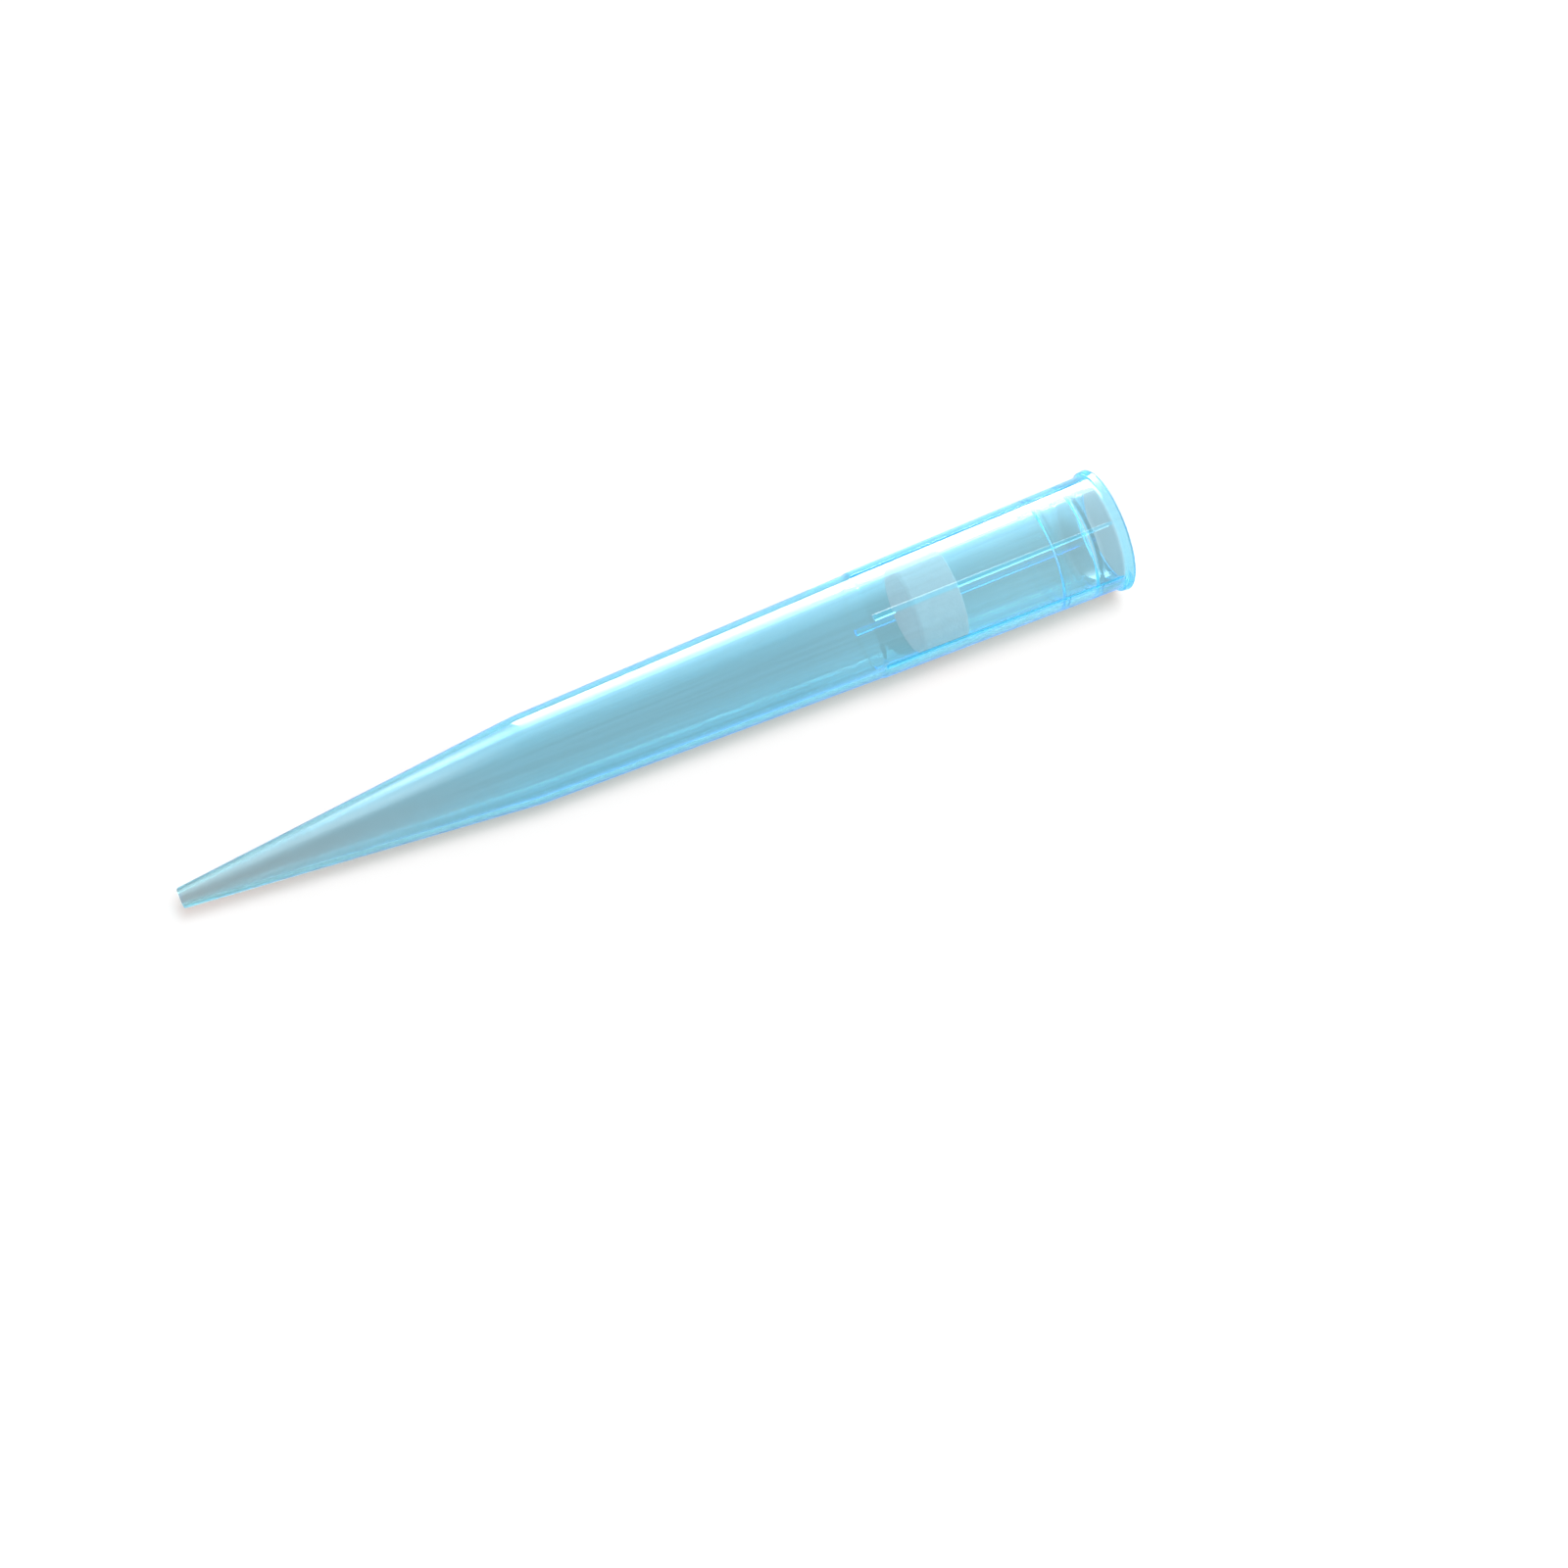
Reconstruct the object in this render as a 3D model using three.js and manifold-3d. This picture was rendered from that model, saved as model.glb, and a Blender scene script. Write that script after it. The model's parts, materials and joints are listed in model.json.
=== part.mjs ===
// A filter tip for a one-millilitre air-displacement pipette, lying on a bench.
// Two pieces: a thin-walled moulded polypropylene tip and a porous filter held in its collar.
// Millimetres, +Z up. Stations along the tip are measured from the orifice to the mouth.
import * as THREE from "three";
import { mergeVertices } from "three/addons/utils/BufferGeometryUtils.js";
import Module from "manifold-3d";

const wasm = await Module();
wasm.setup();

// Driving sizes of the moulded tip
const tipLength = 69;
const rimDiameter = 9;
const endDiameter = 1.46;
const orificeDiameter = 0.76;
const wallThickness = 0.45;

// Outline from the rim down: the collar drafts in to a shoulder, the body to a kink, the cone to the end
const rimOverhang = 0.26;
const collarLength = 19.1;
const collarDraft = THREE.MathUtils.degToRad(1.07);
const shoulderHeight = 0.07;
const shoulderRamp = 0.35;
const kinkShare = 0.36;
const kinkNarrowing = 0.825;
const kinkBlend = 1.2;
const endRounding = 0.14;

// Flared lip round the mouth
const lipLength = 0.8;
const lipFillet = 0.2;
const lipRounding = 0.22;

// Lengthwise ribs on the collar, lower and narrower towards the rim
const ribCount = 6;
const firstRibAngle = THREE.MathUtils.degToRad(23.5);
const ribFootWidth = 0.52;
const ribTopWidth = 0.3;
const ribFootHeight = 0.11;
const ribTopHeight = 0.06;

// Sealing beads in the socket that takes the pipette's nose cone
const socketLeadIn = 0.2;
const sealCount = 2;
const sealPitch = 2.55;
const sealWidth = 0.6;
const sealHeight = 0.12;

// Filter plug
const filterLength = 3.6;
const filterDepth = 12.4;
const filterChamfer = 0.25;
const filterClearance = 0.05;

// Fineness of the round forms
const roundSides = 48;
const arcSteps = 3;

// Stations and radii worked out from the sizes above
const kinkStation = tipLength * kinkShare;
const collarStart = tipLength - collarLength;
const ribStart = collarStart + shoulderRamp / 2;
const lipStart = tipLength - lipLength;
const filterTop = tipLength - filterDepth;
const filterBottom = filterTop - filterLength;
const rimRadius = rimDiameter / 2;
const endRadius = endDiameter / 2;
const collarTopRadius = rimRadius - rimOverhang;
const collarFootRadius = collarTopRadius - (lipStart - collarStart - shoulderRamp) * Math.tan(collarDraft);
const bodyTopRadius = collarFootRadius - shoulderHeight;
const kinkRadius = bodyTopRadius * kinkNarrowing;

// Where each straight taper starts and ends, as [station, radius]
const outerEnd = [0, endRadius];
const outerKink = [kinkStation, kinkRadius];
const outerTop = [collarStart, bodyTopRadius];
const collarFoot = [collarStart + shoulderRamp, collarFootRadius];
const boreEnd = [0, orificeDiameter / 2];
const boreKink = [kinkStation, kinkRadius - wallThickness];
const boreTop = [collarStart, bodyTopRadius - wallThickness];
const boreMouth = [tipLength, collarTopRadius - wallThickness];

// Radius that a straight taper between two such points has at one station
function taper(from, to, station) {
  return from[1] + ((to[1] - from[1]) * (station - from[0])) / (to[0] - from[0]);
}

// A profile point: LatheGeometry wants the radius first and the height second
function at(station, radius) {
  return new THREE.Vector2(radius, station);
}

// A round corner of the profile, turning from one angle to another about its centre
function corner(station, radius, size, fromAngle, toAngle) {
  const points = [];
  for (let i = 0; i <= arcSteps; i++) {
    const angle = fromAngle + ((toAngle - fromAngle) * i) / arcSteps;
    points.push(at(station + size * Math.sin(angle), radius + size * Math.cos(angle)));
  }
  return points;
}

// A soft bend between two tapers, half a blend to each side of the point where they would meet
function bend(before, middle, after) {
  const start = middle[0] - kinkBlend / 2;
  const end = middle[0] + kinkBlend / 2;
  const curve = new THREE.QuadraticBezierCurve(
    at(start, taper(before, middle, start)),
    at(...middle),
    at(end, taper(middle, after, end)),
  );
  return curve.getPoints(arcSteps);
}

// Outside of the tip, from the orifice face up to the mouth face
function outerProfile() {
  const quarter = Math.PI / 2;
  return [
    ...corner(endRounding, endRadius - endRounding, endRounding, -quarter, 0),
    ...bend(outerEnd, outerKink, outerTop),
    at(...outerTop),
    at(...collarFoot),
    ...corner(lipStart, collarTopRadius + lipFillet, lipFillet, Math.PI, quarter),
    ...corner(tipLength - lipRounding, rimRadius - lipRounding, lipRounding, 0, quarter),
  ];
}

// Radius of the bore above the chamber: it holds the filter, then widens evenly to the mouth
function socketRadius(station) {
  return taper(boreTop, boreMouth, station);
}

// One low round-backed sealing bead, met from the mouth side
function sealBead(middle) {
  const points = [];
  const steps = 2 * arcSteps;
  for (let i = 0; i <= steps; i++) {
    const across = 1 - (2 * i) / steps;
    const station = middle + (across * sealWidth) / 2;
    points.push(at(station, socketRadius(station) - sealHeight * (1 - across * across)));
  }
  return points;
}

// Inside of the tip, from the mouth face down to the orifice face
function boreProfile() {
  const beads = [];
  for (let i = 1; i <= sealCount; i++) {
    beads.push(...sealBead(tipLength - i * sealPitch));
  }
  const leadInEnd = tipLength - 2 * socketLeadIn;
  return [
    at(tipLength, boreMouth[1] + socketLeadIn),
    at(leadInEnd, socketRadius(leadInEnd)),
    ...beads,
    at(...boreTop),
    ...bend(boreEnd, boreKink, boreTop).reverse(),
    at(...boreEnd),
  ];
}

// A full turn of a profile, with an edge at the top, the bottom and each side
function revolve(profile) {
  return new THREE.LatheGeometry(profile, roundSides);
}

// A three.js geometry as a solid that can be joined and cut
function toSolid(geometry) {
  const bare = geometry.clone();
  bare.deleteAttribute("normal");
  bare.deleteAttribute("uv");
  const merged = mergeVertices(bare);
  return new wasm.Manifold(
    new wasm.Mesh({
      numProp: 3,
      vertProperties: merged.attributes.position.array,
      triVerts: new Uint32Array(merged.index.array),
    }),
  );
}

function toGeometry(solid) {
  const mesh = solid.getMesh();
  const geometry = new THREE.BufferGeometry();
  geometry.setAttribute("position", new THREE.BufferAttribute(mesh.vertProperties, 3));
  geometry.setIndex(new THREE.BufferAttribute(mesh.triVerts, 1));
  geometry.computeVertexNormals();
  return geometry;
}

// The ring that the ribs are trimmed to: their backs outside, and half the collar's wall inside
function ribEnvelope() {
  const sunk = wallThickness / 2;
  const ribEnd = lipStart + lipFillet;
  return [
    at(ribStart, collarFootRadius - sunk),
    at(ribStart, collarFootRadius + ribFootHeight),
    at(ribEnd, collarTopRadius + ribTopHeight),
    at(ribEnd, collarTopRadius - sunk),
    at(ribStart, collarFootRadius - sunk),
  ];
}

// The plan of one rib, narrowing towards the rim, pushed outwards through the collar wall
function ribBlade(angle) {
  const plan = new THREE.Shape([
    new THREE.Vector2(-ribFootWidth / 2, collarStart),
    new THREE.Vector2(ribFootWidth / 2, collarStart),
    new THREE.Vector2(ribTopWidth / 2, tipLength),
    new THREE.Vector2(-ribTopWidth / 2, tipLength),
  ]);
  const blade = new THREE.ExtrudeGeometry(plan, { depth: rimRadius, bevelEnabled: false });
  blade.rotateY(angle);
  return blade;
}

function ribs() {
  const envelope = toSolid(revolve(ribEnvelope()));
  let blades = toSolid(ribBlade(firstRibAngle));
  for (let i = 1; i < ribCount; i++) {
    blades = blades.add(toSolid(ribBlade(firstRibAngle + (i * 2 * Math.PI) / ribCount)));
  }
  return blades.intersect(envelope);
}

function tipBody() {
  const outside = outerProfile();
  const shell = revolve([...outside, ...boreProfile(), outside[0].clone()]);
  const solid = toSolid(shell).add(ribs());
  const material = new THREE.MeshStandardMaterial({ color: 0x8fd0ea, roughness: 0.25, metalness: 0 });
  const mesh = new THREE.Mesh(toGeometry(solid), material);
  mesh.name = "tip_body";
  return mesh;
}

// The plug follows the taper of the bore that holds it, with a chamfer at each end
function filterPlug() {
  const plugRadius = (station) => socketRadius(station) - filterClearance;
  const profile = [
    at(filterBottom, 0),
    at(filterBottom, plugRadius(filterBottom) - filterChamfer),
    at(filterBottom + filterChamfer, plugRadius(filterBottom + filterChamfer)),
    at(filterTop - filterChamfer, plugRadius(filterTop - filterChamfer)),
    at(filterTop, plugRadius(filterTop) - filterChamfer),
    at(filterTop, 0),
  ];
  const material = new THREE.MeshStandardMaterial({ color: 0xf2f3f5, roughness: 0.95, metalness: 0 });
  const mesh = new THREE.Mesh(revolve(profile), material);
  mesh.name = "filter_plug";
  return mesh;
}

// How steeply the axis climbs when the rim and the lowest part of the body both touch the bench
function restingClimb() {
  const rimStation = tipLength - lipRounding;
  const body = outerProfile().filter((point) => point.y < collarStart);
  const slopes = body.map((point) => Math.atan2(rimRadius - point.x, rimStation - point.y));
  return Math.min(...slopes);
}

// Lays the upright tip along X with its mouth towards +X, on the bench at Z = 0
function layDown(upright) {
  const along = new THREE.Group();
  along.rotation.z = -Math.PI / 2;
  along.add(upright);
  const laid = new THREE.Group();
  laid.rotation.y = -restingClimb();
  laid.add(along);
  laid.updateMatrixWorld(true);
  const box = new THREE.Box3().setFromObject(laid, true);
  laid.position.set(-(box.min.x + box.max.x) / 2, 0, -box.min.z);
  return laid;
}

const tip = new THREE.Group();
tip.add(tipBody(), filterPlug());

const bench = new THREE.Group();
bench.add(layDown(tip));

export default bench;
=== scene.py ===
import json
import math

import bpy
import numpy as np
from mathutils import Matrix, Vector, noise


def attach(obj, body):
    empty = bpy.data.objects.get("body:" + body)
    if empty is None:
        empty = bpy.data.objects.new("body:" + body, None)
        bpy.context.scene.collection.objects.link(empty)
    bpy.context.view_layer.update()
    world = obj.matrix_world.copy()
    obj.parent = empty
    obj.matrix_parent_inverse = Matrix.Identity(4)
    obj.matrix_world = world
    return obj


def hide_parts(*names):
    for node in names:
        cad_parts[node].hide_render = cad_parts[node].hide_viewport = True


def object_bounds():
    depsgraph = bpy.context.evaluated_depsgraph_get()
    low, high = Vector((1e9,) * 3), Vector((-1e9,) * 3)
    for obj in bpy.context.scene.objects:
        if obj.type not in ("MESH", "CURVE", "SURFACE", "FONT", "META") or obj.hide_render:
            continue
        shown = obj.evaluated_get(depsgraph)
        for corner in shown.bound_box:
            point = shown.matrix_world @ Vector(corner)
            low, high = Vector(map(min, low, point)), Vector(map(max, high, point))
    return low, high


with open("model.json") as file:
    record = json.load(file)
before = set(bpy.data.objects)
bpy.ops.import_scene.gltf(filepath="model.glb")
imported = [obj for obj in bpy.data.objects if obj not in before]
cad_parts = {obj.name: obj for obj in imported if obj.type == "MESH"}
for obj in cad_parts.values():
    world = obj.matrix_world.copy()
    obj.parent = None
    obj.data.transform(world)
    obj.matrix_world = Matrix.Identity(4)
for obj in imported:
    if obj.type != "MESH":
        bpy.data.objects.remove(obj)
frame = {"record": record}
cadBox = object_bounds()
scene = bpy.context.scene
scene.view_settings.view_transform = "Standard"
scene.cycles.max_bounces = 9
scene.cycles.glossy_bounces = 6
scene.cycles.diffuse_bounces = 1
scene.cycles.transmission_bounces = 9
mm = 0.001
print("frame: loaded, box", [round(float(v), 5) for corner in cadBox for v in corner])

# Where the viewer stands: the aim is a point on the bench, measured from the middle of the tip's box
viewer = {
    "aim": (6.29 * mm, -7.22 * mm),
    "turn": -23.746,  # degrees round Z, from looking along +Y
    "tilt": 62.76,  # degrees above the bench
    "distance": 189.7 * mm,
    "lens": 63.0,
    "sensor": 36.0,
    "near": 0.01,
    "far": 20,
}


def placeViewer():
    middle = (Vector(cadBox[0]) + Vector(cadBox[1])) / 2
    aim = Vector((middle.x + viewer["aim"][0], middle.y + viewer["aim"][1], cadBox[0][2]))
    turn = math.radians(viewer["turn"])
    tilt = math.radians(viewer["tilt"])
    back = Vector((math.sin(turn) * math.cos(tilt), -math.cos(turn) * math.cos(tilt), math.sin(tilt)))
    data = bpy.data.cameras.new("viewer")
    data.sensor_width = viewer["sensor"]
    data.lens = viewer["lens"]
    data.clip_start = viewer["near"]
    data.clip_end = viewer["far"]
    camera = bpy.data.objects.new("viewer", data)
    camera.location = aim + back * viewer["distance"]
    camera.rotation_euler = (-back).to_track_quat("-Z", "Y").to_euler()
    scene.collection.objects.link(camera)
    scene.camera = camera


placeViewer()
print("viewer: placed")


# One socket of a shader, so that sums on it can be written as plain expressions
class Wire:
    def __init__(self, recipe, socket):
        self.recipe = recipe
        self.socket = socket

    def __add__(self, other):
        return self.recipe.maths("ADD", self, other)

    def __radd__(self, other):
        return self.recipe.maths("ADD", other, self)

    def __sub__(self, other):
        return self.recipe.maths("SUBTRACT", self, other)

    def __rsub__(self, other):
        return self.recipe.maths("SUBTRACT", other, self)

    def __mul__(self, other):
        return self.recipe.maths("MULTIPLY", self, other)

    def __rmul__(self, other):
        return self.recipe.maths("MULTIPLY", other, self)


# A shader tree that nodes are added to
class Recipe:
    def __init__(self, tree):
        self.tree = tree
        self.tree.nodes.clear()

    def node(self, kind, settings=None, sockets=None):
        made = self.tree.nodes.new(kind)
        for name, value in (settings or {}).items():
            if name == "stops":
                self.setStops(made.color_ramp, value)
            else:
                setattr(made, name, value)
        for name, value in (sockets or {}).items():
            self.feed(made.inputs[name], value)
        return made

    def feed(self, socket, value):
        if isinstance(value, Wire):
            self.tree.links.new(value.socket, socket)
        elif isinstance(value, bpy.types.NodeSocket):
            self.tree.links.new(value, socket)
        elif isinstance(value, tuple) and len(value) == 3 and socket.type == "RGBA":
            socket.default_value = (*value, 1)
        else:
            socket.default_value = value

    def setStops(self, ramp, stops):
        while len(ramp.elements) < len(stops):
            ramp.elements.new(1)
        for element, (position, shade) in zip(ramp.elements, stops):
            element.position = position
            element.color = (shade, shade, shade, 1)

    def wire(self, node, output=0):
        return Wire(self, node.outputs[output])

    def maths(self, operation, first, second=0.0, clamp=False):
        made = self.tree.nodes.new("ShaderNodeMath")
        made.operation = operation
        made.use_clamp = clamp
        self.feed(made.inputs[0], first)
        self.feed(made.inputs[1], second)
        return Wire(self, made.outputs[0])

    def blend(self, factor, first, second):
        mix = self.node("ShaderNodeMix", {"data_type": "RGBA"}, {"Factor": factor, "A": first, "B": second})
        return self.wire(mix, "Result")

    def limit(self, value):
        return self.maths("MINIMUM", self.maths("MAXIMUM", value, 0.0), 1.0)

    def attribute(self, name):
        return self.wire(self.node("ShaderNodeAttribute", {"attribute_name": name}), "Fac")


def newMaterial(name):
    material = bpy.data.materials.new(name)
    material.use_nodes = True
    return material, Recipe(material.node_tree)


# The moulded tip. Millimetres; stations run from the orifice to the mouth
tipBody = {
    "length": 69.0,
    "rimRadius": 4.5,
    "endRadius": 0.73,
    "orificeRadius": 0.38,
    "wall": 0.45,
    "rimOverhang": 0.26,
    "collarLength": 19.1,
    "collarDraft": 1.07,
    "shoulderHeight": 0.07,
    "shoulderRamp": 0.35,
    "kinkShare": 0.36,
    "kinkNarrowing": 0.825,
    "kinkBlend": 1.2,
    "endRounding": 0.14,
    "lipLength": 0.8,
    "lipFillet": 0.2,
    "lipRounding": 0.22,
    "leadIn": 0.2,
    "ribCount": 6,
    "firstRib": 23.5,  # degrees from the top towards -Y
    "ribWidth": (0.52, 0.3),  # at the shoulder and at the mouth
    "ribHeight": (0.11, 0.06),
    "ribEdge": 1.14,  # where a rib's side meets the collar, in half widths
    "ribSide": 0.7,  # how wide its rounded side is, in half widths
    "ribStart": 0.175,  # past the foot of the shoulder
    "ribRise": 0.08,  # how far a rib takes to rise at the shoulder
    "ribFade": 0.5,  # and to sink into the lip
    "rimPaintedGlow": 0.4,  # the rim's share of the painted glow that a rib gets
    "beadPitch": 2.55,
    "beadCount": 2,
    "beadWidth": 0.6,
    "beadHeight": 0.12,
    "roundness": 0.9999,  # keeps the true circle just inside the CAD solid's edges
    "shoulderSteps": 24,
    "gapSamples": 19,  # points between two ribs
}
tipBody["kink"] = tipBody["length"] * tipBody["kinkShare"]
tipBody["collar"] = tipBody["length"] - tipBody["collarLength"]
tipBody["lip"] = tipBody["length"] - tipBody["lipLength"]
tipBody["collarTopRadius"] = tipBody["rimRadius"] - tipBody["rimOverhang"]
collarRun = tipBody["lip"] - tipBody["collar"] - tipBody["shoulderRamp"]
collarNarrowing = collarRun * math.tan(math.radians(tipBody["collarDraft"]))
tipBody["collarFootRadius"] = tipBody["collarTopRadius"] - collarNarrowing
tipBody["bodyTopRadius"] = tipBody["collarFootRadius"] - tipBody["shoulderHeight"]
tipBody["kinkRadius"] = tipBody["bodyTopRadius"] * tipBody["kinkNarrowing"]
tipBody["mouthRadius"] = tipBody["collarTopRadius"] - tipBody["wall"]

# Offsets across a rib, in half widths
ribOffsets = [0.0, 0.2, 0.36, 0.44, 0.52, 0.6, 0.68, 0.76, 0.84, 0.92, 1.0, 1.07, 1.14, 1.3, 1.5]
ribOffsets = [-offset for offset in reversed(ribOffsets[1:])] + ribOffsets


def ease(share):
    share = min(max(share, 0.0), 1.0)
    return share * share * (3 - 2 * share)


def lerp(first, second, share):
    return first + (second - first) * share


def taper(start, end, station):
    return lerp(start[1], end[1], (station - start[0]) / (end[0] - start[0]))


# Straight run of a profile. Points close to both ends keep it straight where it is shaded smooth
def run(start, end, hold=0.015, spacing=1.6):
    span = math.dist(start, end)
    if span < 4 * hold:
        return [start, end]
    count = max(1, round((span - 2 * hold) / spacing))
    shares = [0.0, *np.linspace(hold / span, 1 - hold / span, count + 1), 1.0]
    return [(lerp(start[0], end[0], share), lerp(start[1], end[1], share)) for share in shares]


def arc(station, radius, size, fromAngle, toAngle, steps=8):
    points = []
    for angle in np.radians(np.linspace(fromAngle, toAngle, steps + 1)):
        points.append((station + size * math.sin(angle), radius + size * math.cos(angle)))
    return points


def bend(before, middle, after, blend, steps=12):
    start = (middle[0] - blend / 2, taper(before, middle, middle[0] - blend / 2))
    end = (middle[0] + blend / 2, taper(middle, after, middle[0] + blend / 2))
    points = []
    for share in np.linspace(0, 1, steps + 1):
        first = (lerp(start[0], middle[0], share), lerp(start[1], middle[1], share))
        second = (lerp(middle[0], end[0], share), lerp(middle[1], end[1], share))
        points.append((lerp(first[0], second[0], share), lerp(first[1], second[1], share)))
    return points


def joined(*parts):
    points = []
    for part in parts:
        for point in part:
            if not points or math.dist(points[-1], point) > 1e-6:
                points.append((float(point[0]), float(point[1])))
    return points


def outerProfile():
    t = tipBody
    end = (0.0, t["endRadius"])
    kink = (t["kink"], t["kinkRadius"])
    top = (t["collar"], t["bodyTopRadius"])
    foot = (t["collar"] + t["shoulderRamp"], t["collarFootRadius"])
    blend = bend(end, kink, top, t["kinkBlend"])
    rounding = t["endRounding"]
    nose = arc(rounding, t["endRadius"] - rounding, rounding, -90, 0)
    shoulder = []
    for share in np.linspace(0, 1, t["shoulderSteps"] + 1):
        shoulder.append((lerp(top[0], foot[0], share), lerp(top[1], foot[1], ease(share))))
    lipStart = (t["lip"], t["collarTopRadius"])
    fadeStart = (t["lip"] - t["ribFade"], taper(foot, lipStart, t["lip"] - t["ribFade"]))
    fillet = arc(t["lip"], t["collarTopRadius"] + t["lipFillet"], t["lipFillet"], 180, 90)
    rounding = t["lipRounding"]
    brow = arc(t["length"] - rounding, t["rimRadius"] - rounding, rounding, 0, 90, 10)
    return joined(
        nose,
        run(nose[-1], blend[0]),
        blend,
        run(blend[-1], top),
        shoulder,
        run(shoulder[-1], fadeStart),
        run(fadeStart, lipStart, spacing=0.08),
        fillet,
        run(fillet[-1], brow[0], hold=0.02),
        brow,
    )


def socketRadius(station):
    top = (tipBody["collar"], tipBody["bodyTopRadius"] - tipBody["wall"])
    return taper(top, (tipBody["length"], tipBody["mouthRadius"]), station)


def sealBead(middle, steps=16):
    points = []
    for across in np.linspace(1, -1, steps + 1):
        station = middle + across * tipBody["beadWidth"] / 2
        lift = tipBody["beadHeight"] * (1 - across * across)
        points.append((station, socketRadius(station) - lift))
    return points


def boreProfile():
    t = tipBody
    mouth = t["length"]
    leadEnd = (mouth - 2 * t["leadIn"], socketRadius(mouth - 2 * t["leadIn"]))
    leadStart = (mouth, t["mouthRadius"] + t["leadIn"])
    parts = [run(leadStart, leadEnd, hold=0.02)]
    last = leadEnd
    for i in range(1, t["beadCount"] + 1):
        bead = sealBead(mouth - i * t["beadPitch"])
        parts += [run(last, bead[0]), bead]
        last = bead[-1]
    top = (t["collar"], t["bodyTopRadius"] - t["wall"])
    kink = (t["kink"], t["kinkRadius"] - t["wall"])
    end = (0.0, t["orificeRadius"])
    blend = bend(end, kink, top, t["kinkBlend"])[::-1]
    return joined(*parts, run(last, top), run(top, blend[0]), blend, run(blend[-1], end))


def ringAngles(station):
    t = tipBody
    share = min(max((station - t["collar"]) / t["collarLength"], 0.0), 1.0)
    half = lerp(*t["ribWidth"], share) / 2 / lerp(t["collarFootRadius"], t["collarTopRadius"], share)
    angles = []
    pitch = 2 * math.pi / t["ribCount"]
    for i in range(t["ribCount"]):
        centre = math.radians(t["firstRib"]) + i * pitch
        angles += [centre + offset * half for offset in ribOffsets]
        reach = ribOffsets[-1] * half
        angles += list(np.linspace(centre + reach, centre + pitch - reach, t["gapSamples"] + 2)[1:-1])
    return np.array(angles)


def ribShape():
    t = tipBody
    shape = [ease((t["ribEdge"] - abs(offset)) / t["ribSide"]) for offset in ribOffsets]
    return np.array((shape + [0.0] * t["gapSamples"]) * t["ribCount"])


def ribRise(station):
    t = tipBody
    start = t["collar"] + t["ribStart"]
    if station < start:
        return 0.0
    share = (station - start) / (t["lip"] - start)
    fade = ease((t["lip"] - station) / t["ribFade"])
    return lerp(*t["ribHeight"], min(share, 1.0)) * ease((station - start) / t["ribRise"]) * fade


# With a matrix the points are in the tip's own frame: they are kept as tipPlace for the materials
def meshFrom(name, points, faces, smooth=True, matrix=None):
    mesh = bpy.data.meshes.new(name)
    mesh.from_pydata(points, [], faces)
    if matrix is not None:
        places = mesh.attributes.new("tipPlace", "FLOAT_VECTOR", "POINT")
        places.data.foreach_set("vector", np.array(points, np.float32).ravel())
        mesh.transform(matrix)
    mesh.update()
    mesh.polygons.foreach_set("use_smooth", [smooth] * len(mesh.polygons))
    piece = bpy.data.objects.new(name, mesh)
    scene.collection.objects.link(piece)
    return piece


# The tip's own frame: X along its axis from the orifice, Z up
def tipMatrix():
    mount = frame["record"]["mounts"][0]
    along = Vector(mount["axis"]).normalized()
    up = Vector((-along.z, 0, along.x))
    ring = (tipBody["mouthRadius"] + tipBody["leadIn"] + tipBody["rimRadius"] - tipBody["lipRounding"]) / 2
    mouth = Vector(mount["pos_m"]) - up * ring * mm
    orifice = mouth - along * tipBody["length"] * mm
    turned = Matrix((along, Vector((0, 1, 0)), up)).transposed().to_4x4()
    return Matrix.Translation(orifice) @ turned


def ringPoints(station, radii, angles):
    across = radii * tipBody["roundness"] * mm
    along = np.full_like(angles, station * mm)
    return np.stack([along, -across * np.sin(angles), across * np.cos(angles)], 1)


def buildTipBody():
    shape = ribShape()
    rings = []
    for station, radius in outerProfile():
        angles = ringAngles(station)
        rings.append(ringPoints(station, radius + ribRise(station) * shape, angles))
    outerCount = len(rings)
    for station, radius in boreProfile():
        angles = ringAngles(station)
        rings.append(ringPoints(station, np.full_like(angles, radius), angles))
    count = len(shape)
    faces = []
    for i in range(len(rings)):
        here = i * count
        there = (i + 1) % len(rings) * count
        for j in range(count):
            k = (j + 1) % count
            faces.append((here + j, here + k, there + k, there + j))
    piece = meshFrom("moulded_tip", np.concatenate(rings).tolist(), faces, matrix=tipMatrix())
    inside = piece.data.attributes.new("inBore", "FLOAT", "POINT")
    marks = np.zeros(len(rings) * count, np.float32)
    marks[outerCount * count :] = 1
    inside.data.foreach_set("value", marks)
    # ridge marks the ribs and the rim, where the plastic's painted glow is strongest
    ridge = piece.data.attributes.new("ridge", "FLOAT", "POINT")
    raised = np.zeros((len(rings), count), np.float32)
    for i, (station, radius) in enumerate(outerProfile() + boreProfile()):
        if i < outerCount:
            raised[i] = shape * (ribRise(station) > 0)
        if station > tipBody["lip"]:
            raised[i] = tipBody["rimPaintedGlow"]
    ridge.data.foreach_set("value", raised.ravel())
    print("moulded tip:", len(rings), "rings of", count, "points,", 2 * len(faces), "triangles")
    return piece


# The porous filter. Millimetres
filterPlug = {
    "length": 3.6,
    "depth": 12.4,
    "chamfer": 0.25,
    "clearance": 0.05,
    "samples": 220,
    "spacing": 0.1,
    "hub": 0.12,  # radius of the fan of faces in the middle of each end
    "grain": 0.16,
    "roughness": 0.02,
    "fractal": (0.9, 2.1, 3),  # decay, step in scale and number of layers of the grains
}


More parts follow.
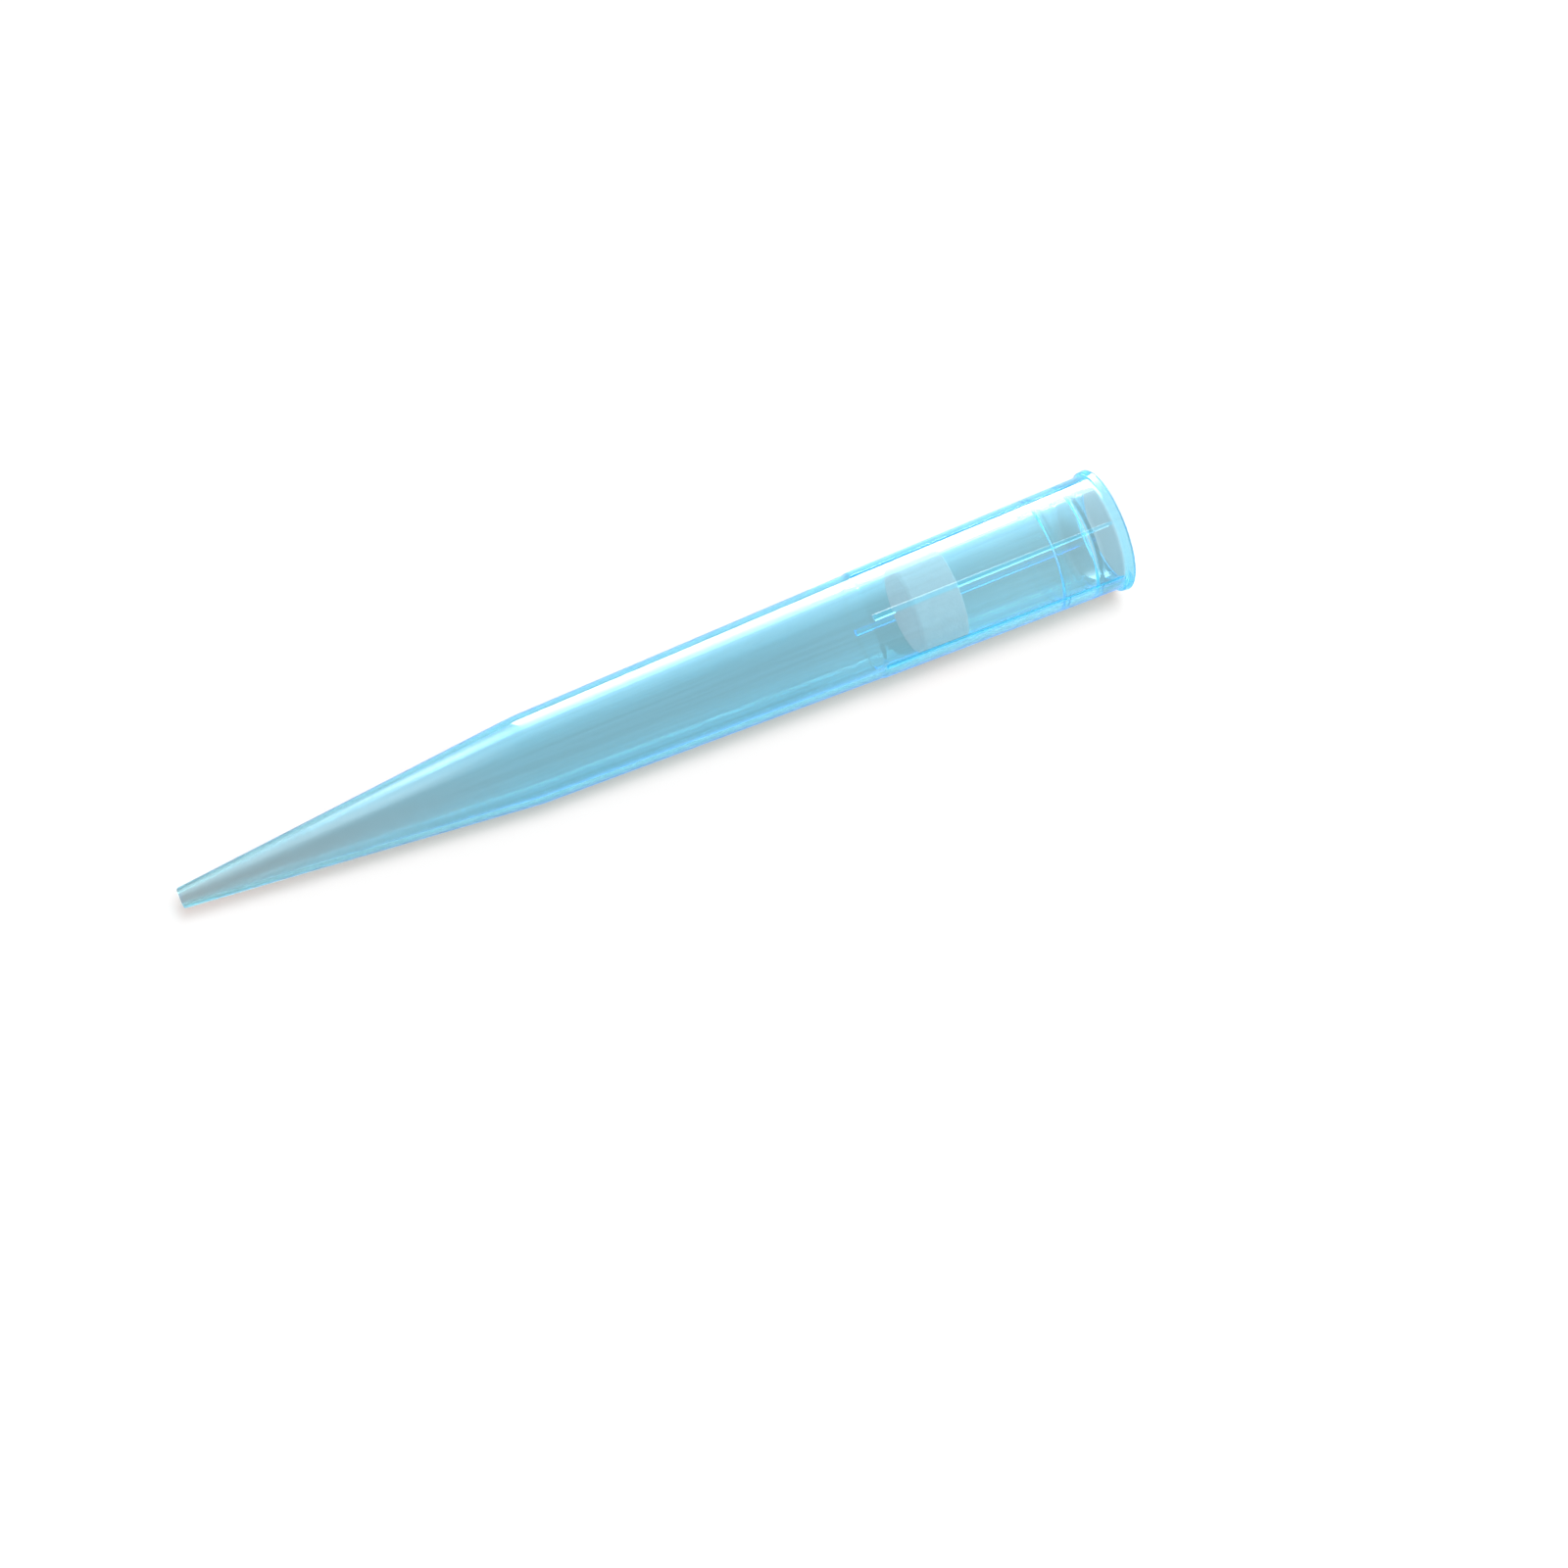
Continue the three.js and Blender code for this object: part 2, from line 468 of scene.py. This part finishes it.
def buildFilterPlug():
    f = filterPlug
    top = tipBody["length"] - f["depth"]
    bottom = top - f["length"]

    def wallRadius(station):
        return socketRadius(station) - f["clearance"] - f["roughness"]

    edge = f["chamfer"]
    corners = [
        (bottom + f["roughness"], f["hub"]),
        (bottom + f["roughness"], wallRadius(bottom) - edge),
        (bottom + edge, wallRadius(bottom + edge)),
        (top - edge, wallRadius(top - edge)),
        (top - f["roughness"], wallRadius(top) - edge),
        (top - f["roughness"], f["hub"]),
    ]
    outline = [corners[0]]
    for start, end in zip(corners, corners[1:]):
        steps = max(2, round(math.dist(start, end) / f["spacing"]))
        for k in range(1, steps + 1):
            outline.append((lerp(start[0], end[0], k / steps), lerp(start[1], end[1], k / steps)))
    angles = np.linspace(0, 2 * math.pi, f["samples"], endpoint=False)
    points = []
    for station, radius in outline:
        points += ringPoints(station, np.full_like(angles, radius), angles).tolist()
    count = len(angles)
    faces = []
    for i in range(len(outline) - 1):
        for j in range(count):
            k = (j + 1) % count
            faces.append((i * count + j, i * count + k, (i + 1) * count + k, (i + 1) * count + j))
    last = len(points)
    points += [[outline[0][0] * mm, 0, 0], [outline[-1][0] * mm, 0, 0]]
    for j in range(count):
        k = (j + 1) % count
        faces.append((k, j, last))
        faces.append((last - count + j, last - count + k, last + 1))
    # grains push the surface in and out a little
    middle = Vector(((top + bottom) / 2 * mm, 0, 0))
    moved = []
    for point in points:
        place = Vector(point)
        lump = noise.fractal(place / (f["grain"] * mm), *f["fractal"])
        away = (place - Vector((place.x * 0.5 + middle.x * 0.5, 0, 0))).normalized()
        moved.append(place + away * max(-1.0, min(1.0, lump)) * f["roughness"] * mm)
    piece = meshFrom("sintered_filter", [tuple(place) for place in moved], faces, matrix=tipMatrix())
    print("sintered filter:", len(faces), "faces")
    return piece


# Clear light blue moulded plastic, a little milky
clearPlastic = {
    "ior": 1.49,
    "roughness": 0.04,
    "smudge": 0.03,  # how much the roughness varies
    "smudgeScale": 420.0,
    "milk": (0.92, 0.9, 1.0),
    "clearness": 0.97,
    "tint": (0.04, 0.915, 1.0),  # what long paths through the plastic leave of the light
    "density": 1150.0,
    # painted glow: the plastic gives off a little light of its own, standing in for light scattered in it
    "glow": (0.025, 0.05, 0.053),
    "greyEnd": 24.0,  # millimetres from the orifice
    # painted shade: the thin end's greyer base colour
    "greyPaintedShade": (0.79, 0.71, 0.74),
    # where the collar's painted glow begins, and how far it takes to grow
    "collarStart": 44.8,
    "collarRun": 16.0,
    # painted glow of the collar
    "collarPaintedGlow": (0.052, 0.072, 0.07),
    # painted glow of the thin end, weaker than elsewhere
    "greyPaintedGlow": (0.052, 0.042, 0.038),
    "greyRoughness": 0.215,  # more of it, and the denoiser leaves a ring where the matt part ends
    # painted glow on the ribs and the rim
    "ridgePaintedGlow": (0.0, 0.14, 0.2),
    # painted glow along edges seen edge on, and how sharply it rises there
    "edgePower": 5.0,
    "edgePaintedGlow": (0.0, 0.22, 0.9),
    # painted shade: a greyer base colour between the beads and the lip
    "mouthPaintedShade": (0.56, 0.57, 0.66),
    "mouthShadeStart": (66.2, 1.2),  # where it starts, and how fast it grows from there
    "mouthShadeEnd": (68.3, 6.0),
    "shadowTint": (0.87, 0.25, 0.19),
    "boreRadius": 3.2,
    "streakPitch": 0.34,
    "streakStretch": 0.06,  # how fast streaks change along the bore
    "streakDetail": 0.55,
    "streakLevel": 0.35,  # depth at which a streak begins to show
    "streakContrast": 2.2,
    "streakShade": (0.84, 0.82, 0.91),
    "streakDepth": 0.1,
    "bumpStrength": 0.35,
    "bumpHeight": 0.00001,
}


def makeClearPlastic():
    c = clearPlastic
    material, recipe = newMaterial("clear_blue_plastic")
    place = recipe.node("ShaderNodeAttribute", {"attribute_name": "tipPlace"}).outputs["Vector"]
    split = recipe.node("ShaderNodeSeparateXYZ", sockets={"Vector": place})
    station = recipe.wire(split, "X") * (1 / mm)
    inBore = recipe.attribute("inBore")
    # the thin end is matt; its base colour is greyer, a painted shade of the shaded bench seen through it,
    # and its painted glow is weaker
    body = recipe.limit(station * (1 / c["greyEnd"]))
    smudges = recipe.node(
        "ShaderNodeTexNoise", sockets={"Vector": place, "Scale": c["smudgeScale"], "Detail": 1.0}
    )
    leastRough = c["roughness"] - c["smudge"] / 2
    roughness = recipe.wire(smudges, "Fac") * c["smudge"] + leastRough + (1 - body) * c["greyRoughness"]
    milk = recipe.blend(body, c["greyPaintedShade"], c["milk"])
    glow = recipe.blend(body, c["greyPaintedGlow"], c["glow"])
    # painted glow: the collar glows more than the body all round, and its ribs and the rim most of all,
    # painting the bright lines that light makes there
    collar = recipe.limit((station - c["collarStart"]) * (1 / c["collarRun"]))
    glow = recipe.blend(collar, glow, c["collarPaintedGlow"])
    glow = recipe.blend(recipe.attribute("ridge"), glow, c["ridgePaintedGlow"])
    # painted glow: emission grows where the surface is seen edge on, painting the bright blue edges that
    # light scattered in the plastic gives
    facing = recipe.wire(recipe.node("ShaderNodeLayerWeight", sockets={"Blend": 0.5}), "Facing")
    glow = recipe.blend(recipe.maths("POWER", facing, c["edgePower"]) * body, glow, c["edgePaintedGlow"])
    # polishing marks left on the core that shaped the bore
    angle = recipe.maths("ARCTAN2", recipe.wire(split, "Y"), recipe.wire(split, "Z"))
    around = angle * (c["boreRadius"] / c["streakPitch"])
    along = station * c["streakStretch"]
    streakPlace = recipe.node("ShaderNodeCombineXYZ", sockets={"X": along, "Y": around})
    streaks = recipe.node(
        "ShaderNodeTexNoise",
        {"noise_dimensions": "2D"},
        {"Vector": recipe.wire(streakPlace), "Scale": 1.0, "Detail": 1.0, "Roughness": c["streakDetail"]},
    )
    depth = recipe.wire(streaks, "Fac")
    shown = (depth - c["streakLevel"]) * c["streakContrast"]
    marks = recipe.maths("MULTIPLY", shown, inBore * body, clamp=True)
    milk = recipe.blend(marks, milk, c["streakShade"])
    bump = recipe.node(
        "ShaderNodeBump",
        sockets={
            "Strength": c["bumpStrength"],
            "Distance": c["bumpHeight"],
            "Height": depth * inBore * c["streakDepth"],
        },
    )
    # painted shade: between the beads and the lip only one wall is seen through, and its base colour is
    # greyer there, painting the darker bench seen beyond it
    start, growth = c["mouthShadeStart"]
    end, decline = c["mouthShadeEnd"]
    mouth = recipe.limit(recipe.maths("MINIMUM", (station - start) * growth, (end - station) * decline))
    milk = recipe.blend(mouth, milk, c["mouthPaintedShade"])
    plastic = recipe.node(
        "ShaderNodeBsdfPrincipled",
        sockets={
            "Base Color": milk,
            "Roughness": roughness,
            "IOR": c["ior"],
            "Transmission Weight": c["clearness"],
            # painted glow: the plastic's own emission
            "Emission Color": glow,
            "Emission Strength": 1.0,
            "Normal": recipe.wire(bump, "Normal"),
        },
    )
    path = recipe.node("ShaderNodeLightPath")
    light = recipe.maths("MAXIMUM", recipe.wire(path, "Is Shadow Ray"), recipe.wire(path, "Is Diffuse Ray"))
    # light that meets the outside of the tip on its way from the bench is dimmed, so that the shadow shows
    behind = recipe.wire(recipe.node("ShaderNodeNewGeometry"), "Backfacing")
    fromBench = (1 - behind) * (1 - inBore)
    passing = recipe.node(
        "ShaderNodeMixShader",
        sockets={
            "Fac": fromBench,
            1: recipe.node("ShaderNodeBsdfTransparent").outputs[0],
            2: recipe.node("ShaderNodeBsdfTransparent", sockets={"Color": c["shadowTint"]}).outputs[0],
        },
    )
    mixed = recipe.node(
        "ShaderNodeMixShader",
        sockets={"Fac": light, 1: plastic.outputs[0], 2: passing.outputs[0]},
    )
    absorption = recipe.node(
        "ShaderNodeVolumeAbsorption",
        sockets={"Color": c["tint"], "Density": c["density"]},
    )
    recipe.node(
        "ShaderNodeOutputMaterial",
        sockets={"Surface": mixed.outputs[0], "Volume": absorption.outputs[0]},
    )
    return material


# White sintered filter material
sinteredWhite = {
    "colour": (0.4, 0.36, 0.36),
    "shade": (0.34, 0.31, 0.32),
    "shadeScale": 1500.0,
    "shadeStops": [(0.3, 0.0), (0.7, 1.0)],
    # painted light: a paler face towards the mouth, and how deep it reaches
    "paintedLitFaceColour": (0.8, 0.79, 0.8),
    "paintedLitFaceDepth": 0.1,
    # painted glow: the plug gives off light of its own, which paints much of its whiteness over a greyer
    # base colour
    "glow": (0.34, 0.27, 0.28),
    "roughness": 0.9,
    "porosity": 0.9,
    "grainScale": 5200.0,
    "grainStrength": 0.6,
    "grainHeight": 0.00004,
}


def makeSinteredWhite():
    s = sinteredWhite
    material, recipe = newMaterial("sintered_white")
    place = recipe.node("ShaderNodeAttribute", {"attribute_name": "tipPlace"}).outputs["Vector"]
    grains = recipe.node("ShaderNodeTexVoronoi", sockets={"Vector": place, "Scale": s["grainScale"]})
    patches = recipe.node(
        "ShaderNodeTexNoise", sockets={"Vector": place, "Scale": s["shadeScale"], "Detail": 4.0}
    )
    patch = recipe.wire(patches, "Fac")
    ramp = recipe.node("ShaderNodeValToRGB", {"stops": s["shadeStops"]}, {"Fac": patch})
    colour = recipe.blend(recipe.wire(ramp), s["shade"], s["colour"])
    # painted light: the face towards the mouth is much paler, making up for the little lamp light that
    # reaches it down the bore
    split = recipe.node("ShaderNodeSeparateXYZ", sockets={"Vector": place})
    faceStart = tipBody["length"] - filterPlug["depth"] - s["paintedLitFaceDepth"]
    face = recipe.limit((recipe.wire(split, "X") * (1 / mm) - faceStart) * (1 / s["paintedLitFaceDepth"]))
    colour = recipe.blend(face, colour, s["paintedLitFaceColour"])
    bump = recipe.node(
        "ShaderNodeBump",
        sockets={
            "Strength": s["grainStrength"],
            "Distance": s["grainHeight"],
            "Height": recipe.wire(grains, "Distance"),
        },
    )
    powder = recipe.node(
        "ShaderNodeBsdfPrincipled",
        sockets={
            "Base Color": colour,
            "Roughness": s["roughness"],
            # painted glow of the plug
            "Emission Color": s["glow"],
            "Emission Strength": 1.0,
            "Normal": recipe.wire(bump, "Normal"),
        },
    )
    # most lamp light goes on through the pores, so the plug throws a weak shadow
    shadowRay = recipe.wire(recipe.node("ShaderNodeLightPath"), "Is Shadow Ray")
    pores = recipe.node("ShaderNodeBsdfTransparent")
    mixed = recipe.node(
        "ShaderNodeMixShader",
        sockets={"Fac": shadowRay * s["porosity"], 1: powder.outputs[0], 2: pores.outputs[0]},
    )
    recipe.node("ShaderNodeOutputMaterial", sockets={"Surface": mixed.outputs[0]})
    return material


tipPiece = buildTipBody()
tipPiece.data.materials.append(makeClearPlastic())
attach(tipPiece, "root")
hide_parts("tip_body")

filterPiece = buildFilterPlug()
filterPiece.data.materials.append(makeSinteredWhite())
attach(filterPiece, "root")
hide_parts("filter_plug")

# The bench and what is round it
bench = {
    "size": 6.0,
    "albedo": 0.8,
    "glow": 0.35,  # for the camera, at the tip
    "farGlow": 0.95,  # for the camera, far from the lamp
    "lampReach": 0.4,
    "glowThrough": 0.04,  # in mirrors and through plastic
}
surroundings = {
    "seen": 1.0,
    "ambient": 0.25,
    "lift": 1.2,  # in mirrors, towards the back
    "liftThrough": 0.9,  # through plastic, towards the back
    "towards": (0.366, 0.785, 0.5),
    "power": 3.0,
}


def seenRays(recipe):
    path = recipe.node("ShaderNodeLightPath")
    seen = recipe.maths("MAXIMUM", recipe.wire(path, "Is Camera Ray"), recipe.wire(path, "Is Glossy Ray"))
    return recipe.maths("MAXIMUM", seen, recipe.wire(path, "Is Transmission Ray"))


def makeBench():
    half = bench["size"] / 2
    floor = cadBox[0][2]
    points = [(-half, -half, floor), (half, -half, floor), (half, half, floor), (-half, half, floor)]
    piece = meshFrom("bench_top", points, [(0, 1, 2, 3)], smooth=False)
    material, recipe = newMaterial("white_bench")
    matt = recipe.node("ShaderNodeBsdfDiffuse", sockets={"Color": (bench["albedo"],) * 3})
    path = recipe.node("ShaderNodeLightPath")
    glossy = recipe.wire(path, "Is Glossy Ray")
    through = recipe.maths("MAXIMUM", glossy, recipe.wire(path, "Is Transmission Ray"))
    # further out, where the lamp lights it less, the bench glows more, so that it looks evenly pale
    position = recipe.node("ShaderNodeNewGeometry").outputs["Position"]
    length = recipe.node("ShaderNodeVectorMath", {"operation": "LENGTH"}, {0: position})
    away = recipe.wire(length, "Value") * (1 / bench["lampReach"])
    lit = recipe.maths("POWER", away * away + 1, -2.0)
    shown = recipe.blend(lit, (bench["farGlow"],) * 3, (bench["glow"],) * 3)
    cameraRay = recipe.wire(path, "Is Camera Ray")
    glow = recipe.node("ShaderNodeEmission", sockets={"Color": shown, "Strength": cameraRay})
    dim = recipe.node("ShaderNodeEmission", sockets={"Strength": through * bench["glowThrough"]})
    glows = recipe.node("ShaderNodeAddShader", sockets={0: glow.outputs[0], 1: dim.outputs[0]})
    both = recipe.node("ShaderNodeAddShader", sockets={0: matt.outputs[0], 1: glows.outputs[0]})
    recipe.node("ShaderNodeOutputMaterial", sockets={"Surface": both.outputs[0]})
    piece.data.materials.append(material)


def makeSurroundings():
    world = bpy.data.worlds.new("studio")
    world.use_nodes = True
    scene.world = world
    recipe = Recipe(world.node_tree)
    # brighter towards the back, where the lamps stand
    direction = recipe.node("ShaderNodeTexCoord").outputs["Generated"]
    facing = recipe.node(
        "ShaderNodeVectorMath", {"operation": "DOT_PRODUCT"}, {0: direction, 1: surroundings["towards"]}
    )
    nearness = recipe.maths("MAXIMUM", recipe.wire(facing, "Value"), 0.0)
    lobe = recipe.maths("POWER", nearness, surroundings["power"])
    path = recipe.node("ShaderNodeLightPath")
    mirrored = recipe.wire(path, "Is Glossy Ray") * surroundings["lift"]
    through = recipe.wire(path, "Is Transmission Ray") * surroundings["liftThrough"]
    plain = seenRays(recipe) * (surroundings["seen"] - surroundings["ambient"]) + surroundings["ambient"]
    strength = plain + lobe * (mirrored + through)
    air = recipe.node("ShaderNodeBackground", sockets={"Color": (1, 1, 1), "Strength": strength})
    recipe.node("ShaderNodeOutputWorld", sockets={"Surface": air.outputs[0]})


# Soft lights: azimuth runs from +Y towards +X, both angles in degrees; shine is what a mirror would show
softLights = {
    "backStrip": {
        "distance": 0.055,
        "middle": (0.0265, 0.039),
        "size": (0.073, 0.072),
        "shine": 16.0,
        "through": False,
        "fade": (0.08, 0.01, 0.01, 0.8),
        "falloff": 3.0,
    },
    "sideStrip": {
        "distance": 0.055,
        "middle": (-0.017, 0.031),
        "size": (0.028, 0.04),
        "shine": 6.0,
        "through": False,
        "fade": (0.6, 0.3, 0.5, 0.5),
    },
    "endStrip": {
        "elevation": 68,
        "distance": 0.055,
        "middle": (-0.034, 0.004),
        "size": (0.036, 0.05),
        "shine": 3.0,
        "through": False,
        "fade": (0.3, 0.5, 0.5, 0.5),
    },
    "backLine": {
        "distance": 0.0552,
        "middle": (0.012, 0.031),
        "size": (0.1, 0.003),
        "shine": 110.0,
        "mirrored": False,
        "fade": (0.3, 0.1, 0.1, 0.1),
    },
    "benchLine": {
        "distance": 0.0069,
        "middle": (0.028, 0.00035),
        "size": (0.028, 0.0007),
        "shine": 4.5,
        "mirrored": False,
    },
    "topSoftbox": {
        "azimuth": 135,
        "elevation": 74,
        "distance": 0.6,
        "size": (0.3, 0.3),
        "shine": 9.0,
        "lights": True,
    },
}


# Dims a lamp towards its left, right, bottom and top edges, over the given shares of its size
def fadeLight(data, shares, falloff):
    data.use_nodes = True
    recipe = Recipe(data.node_tree)
    place = recipe.node("ShaderNodeNewGeometry").outputs["Parametric"]
    split = recipe.node("ShaderNodeSeparateXYZ", sockets={"Vector": place})
    across = recipe.wire(split, "X")
    up = recipe.wire(split, "Y")
    left, right, bottom, top = shares
    sideways = recipe.maths("MINIMUM", across * (1 / left), (1 - across) * (1 / right), clamp=True)
    upper = recipe.maths("POWER", recipe.maths("MINIMUM", (1 - up) * (1 / top), 1.0, clamp=True), falloff)
    lower = recipe.maths("MINIMUM", up * (1 / bottom), 1.0, clamp=True)
    shown = recipe.blend(sideways * upper * lower, (0.0, 0.0, 0.0), (1.0, 1.0, 1.0))
    glow = recipe.node("ShaderNodeEmission", sockets={"Color": shown})
    recipe.node("ShaderNodeOutputLight", sockets={"Surface": glow.outputs[0]})


def placeSoftLight(name, light):
    azimuth = math.radians(light.get("azimuth", 0))
    elevation = math.radians(light.get("elevation", 0))
    flat = math.cos(elevation)
    out = Vector((math.sin(azimuth) * flat, math.cos(azimuth) * flat, math.sin(elevation)))
    data = bpy.data.lights.new(name, "AREA")
    data.shape = "RECTANGLE"
    data.size, data.size_y = light["size"]
    data.energy = light["shine"] * math.pi * light["size"][0] * light["size"][1]
    if "fade" in light:
        fadeLight(data, light["fade"], light.get("falloff", 1.0))
    lamp = bpy.data.objects.new(name, data)
    across, up = light.get("middle", (0.0, 0.0))
    lamp.location = out * light["distance"] + Vector((across, 0, up))
    lamp.rotation_euler = out.to_track_quat("Z", "Y").to_euler()
    lights = light.get("lights", False)
    lamp.visible_camera = False
    lamp.visible_diffuse = lights
    lamp.visible_volume_scatter = lights
    lamp.visible_glossy = not lights and light.get("mirrored", True)
    lamp.visible_transmission = not lights and light.get("through", True)
    scene.collection.objects.link(lamp)


makeBench()
makeSurroundings()
for lightName, lightSettings in softLights.items():
    placeSoftLight(lightName, lightSettings)
print("bench, surroundings and", len(softLights), "soft lights: placed")
